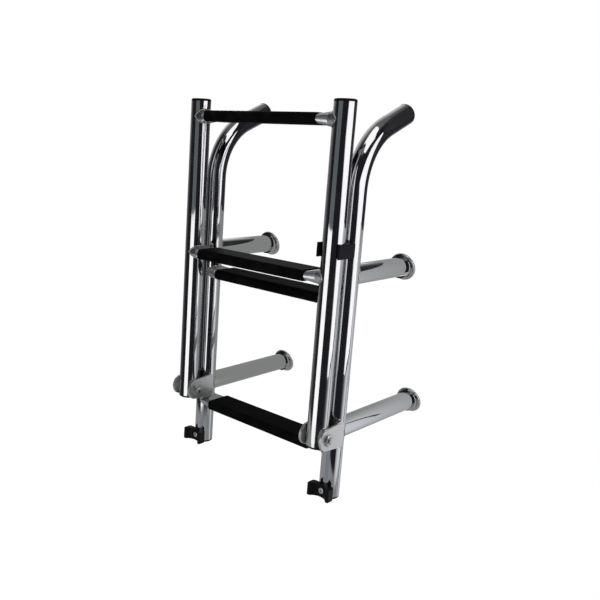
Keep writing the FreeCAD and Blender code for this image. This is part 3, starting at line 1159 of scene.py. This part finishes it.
@dataclass(frozen=True)
class Cards:
    """Places and shapes of the cards round the ladder, in its own millimetres."""

    layout: Layout
    front: float = -596.0
    front_sides: Pair = (-232.0, 238.0)
    right: float = 600.0
    softbox_front: tuple[Pair, ...] = (
        (-60.0, -78.0), (-60.0, 40.0), (-85.0, 100.0), (-135.0, 210.0), (-240.0, 350.0), (-180.0, 430.0))
    softbox_rest: tuple[Pair, ...] = (
        (-90.0, 510.0), (40.0, 605.0), (170.0, 650.0), (320.0, 680.0), (365.0, 600.0), (365.0, 40.0),
        (330.0, -60.0), (120.0, -62.0), (60.0, -78.0))
    softbox_edge: float = 50.0
    above: float = 827.0
    above_outline: tuple[Pair, ...] = (
        (-20.0, -150.0), (-45.0, -235.0), (60.0, -215.0), (190.0, -250.0), (300.0, -385.0),
        (500.0, -330.0), (540.0, 20.0), (380.0, 20.0), (300.0, 70.0), (0.0, 70.0))
    paper_sides: Pair = (-130.0, 420.0)
    paper_bright: Color = (0.92, 0.93, 0.97, 1.0)
    board_gap: float = 3.0
    board_outline: tuple[Pair, ...] = (
        (-420.0, -450.0), (330.0, -450.0), (296.0, 228.0), (241.0, 228.0), (198.0, -5.0),
        (186.0, -5.0), (228.0, 228.0), (-420.0, 228.0))

    def front_part(self, name: str, heights: Pair, color: Color) -> Card:
        """Part of the tall card in front of the ladder, between two heights."""
        outline = oblong(self.front_sides, heights)
        return Card(name, tuple((across, self.front, height) for across, height in outline), color)

    def on_right(self, name: str, outline: Iterable[Pair], color: Color, second: Color | None = None,
                 turns: Pair = (0.0, 1.0)) -> Card:
        """Card on the ladder's right whose outline gives depths and heights."""
        corners = tuple((self.right, depth, height) for depth, height in outline)
        return Card(name, corners, color, second, Axis.Y, turns)

    def softbox(self) -> list[Card]:
        """Large light on the right, its lower front corner cut, and its dim front edge."""
        edge = [(depth - self.softbox_edge, height) for depth, height in reversed(self.softbox_front)]
        return [
            self.on_right("side_softbox", self.softbox_front + self.softbox_rest, (1.485, 1.47, 1.5, 1.0)),
            self.on_right("softbox_edge", list(self.softbox_front) + edge, grey(0.3))]

    def paper(self, name: str, heights: Pair, color: Color, turns: Pair) -> Card:
        """Stretch of the paper that hangs under the softbox, brighter towards the boat."""
        return self.on_right(name, oblong(self.paper_sides, heights), color, self.paper_bright, turns)

    def overhead(self) -> Card:
        """Light above the ladder's right side."""
        corners = tuple((across, depth, self.above) for across, depth in self.above_outline)
        return Card("overhead_softbox", corners, grey(1.5))

    def board(self) -> Card:
        """Slit board behind the feet, as the boat's transom is, glowing with painted light: brighter on the
        side of the light and dimmer higher up.
        """
        corners = tuple((across, self.layout.reach(height) + self.board_gap, height)
                        for across, height in self.board_outline)
        return Card("raked_board", corners, (0.32, 0.33, 0.32, 1.0), (0.93, 0.96, 1.02, 1.0), Axis.X,
                    (20.0, 330.0), 0.45)

    def build(self) -> None:
        """Stand all the cards up."""
        cards = [
            self.front_part("front_card_low", (-700.0, -258.0), (0.246, 0.277, 0.314, 1.0)),
            self.front_part("front_card", (-258.0, 178.0), grey(1.48)),
            self.front_part("front_card_high", (178.0, 700.0), (0.135, 0.158, 0.165, 1.0)),
            *self.softbox(),
            self.overhead(),
            self.paper("paper_upper", (-215.0, -80.0), (0.03, 0.032, 0.036, 1.0), (-80.0, 330.0)),
            self.paper("paper_lower", (-298.0, -215.0), (0.3, 0.31, 0.33, 1.0), (-200.0, 150.0)),
            self.paper("paper_foot", (-600.0, -298.0), (0.27, 0.28, 0.3, 1.0), (150.0, 800.0)),
            self.board()]
        for card in cards:
            card.build()


@dataclass(frozen=True)
class Table:
    """Round pale table under the lowered section."""

    middle: Pair = (-120.0, 60.0)
    radius: float = 1000.0
    height: float = -401.0
    count: int = 96

    def build(self) -> None:
        """Make the table."""
        across, depth = self.middle
        rim = [frame_point(across + self.radius * math.cos(angle), depth + self.radius * math.sin(angle),
                           self.height) for angle in angles(self.count)]
        mesh = plain_mesh("table", rim, faces=[range(self.count)])
        mesh.materials.append(TableTop().make())
        table = add_object("table", mesh)


@dataclass(frozen=True)
class Studio:
    """White background, soft even light, and the dim room and cards that polished steel reflects."""

    layout: Layout
    ambient: float = 0.8
    facing: float = 40.0
    front: Color = (0.0145, 0.0145, 0.019, 1.0)
    rear: Color = (0.2, 0.2, 0.205, 1.0)
    rear_turns: Pair = (84.0, 165.0)
    overhead: Color = (0.15, 0.15, 0.15, 1.0)
    overhead_rises: Pair = (54.0, 72.0)
    panels: tuple[Panel, ...] = (
        Panel(154.0, 32.0, -60.0, 0.0, (0.024, 0.023, 0.03, 1.0), 16.0, 4.0),
        Panel(168.0, 38.0, -1.0, 58.0, (0.033, 0.033, 0.036, 1.0), 12.0, 6.0),
        Panel(-126.0, 34.0, 2.0, 52.0, (0.7, 0.7, 0.7, 1.0), 30.0, 14.0),
        Panel(-140.0, 14.0, 5.0, 24.0, (1.3, 1.3, 1.3, 1.0), 9.0, 5.0),
    )
    lamps: tuple[SoftLamp, ...] = (
        SoftLamp("side_lamp", (1300.0, 200.0, 500.0), 0.5),
        SoftLamp("front_lamp", (-300.0, -1300.0, 500.0), 0.4),
    )

    def surroundings(self, graph: Graph) -> Socket:
        """What polished steel sees around it, by direction.

        Args:
            graph: Graph of the world.

        Returns:
            The colour.
        """
        direction = graph.value("ShaderNodeTexCoord", output="Generated")
        x, y, z = graph.values("ShaderNodeSeparateXYZ", {"Vector": direction}, "XYZ")
        turn = graph.maths("ARCTAN2", x, 0.0 - y) * DEGREES
        rise = graph.maths("ARCSINE", z) * DEGREES
        shade = graph.mix(graph.step(graph.apart(turn, self.facing), *self.rear_turns), self.front, self.rear)
        shade = graph.mix(graph.step(rise, *self.overhead_rises), shade, self.overhead)
        for panel in self.panels:
            shade = graph.mix(panel.mask(graph, turn, rise), shade, panel.color)
        return shade

    def build_world(self) -> None:
        """Make the world: white where the camera looks, even light, and the surroundings."""
        world = bpy.data.worlds.new("studio")
        world.use_nodes = True
        graph = Graph(world.node_tree)
        backdrop = graph.mix(graph.seen(), grey(self.ambient), grey(1.0))
        glossy = graph.value("ShaderNodeLightPath", output="Is Glossy Ray")
        color = graph.mix(glossy, backdrop, self.surroundings(graph))
        background = graph.value("ShaderNodeBackground", {}, {"Color": color, "Strength": 1.0})
        graph.node("ShaderNodeOutputWorld", {}, {"Surface": background})
        bpy.context.scene.world = world

    def build(self) -> None:
        """Make the world, the table, the cards and the lamps."""
        self.build_world()
        Table().build()
        Cards(self.layout).build()
        for lamp in self.lamps:
            lamp.build()


def main() -> None:
    """Build the look of the ladder piece by piece."""
    logging.basicConfig(level=logging.INFO, format="%(name)s %(message)s")
    finishes = Finishes()
    layout = Layout()
    bead = WeldBead().tree()
    for section in (FixedSection(layout, finishes), FoldingSection(layout, finishes)):
        section.dress()
        section.weld(bead)
    hinges = Hinges(layout, finishes)
    hinges.dress()
    hinges.fasten()
    Holders(finishes).dress()
    FootThreads(layout, finishes).cut()
    Studio(layout).build()
    PhotoCamera().build()
    bpy.context.scene.view_settings.view_transform = "Standard"


if __name__ == "__main__":
    main()
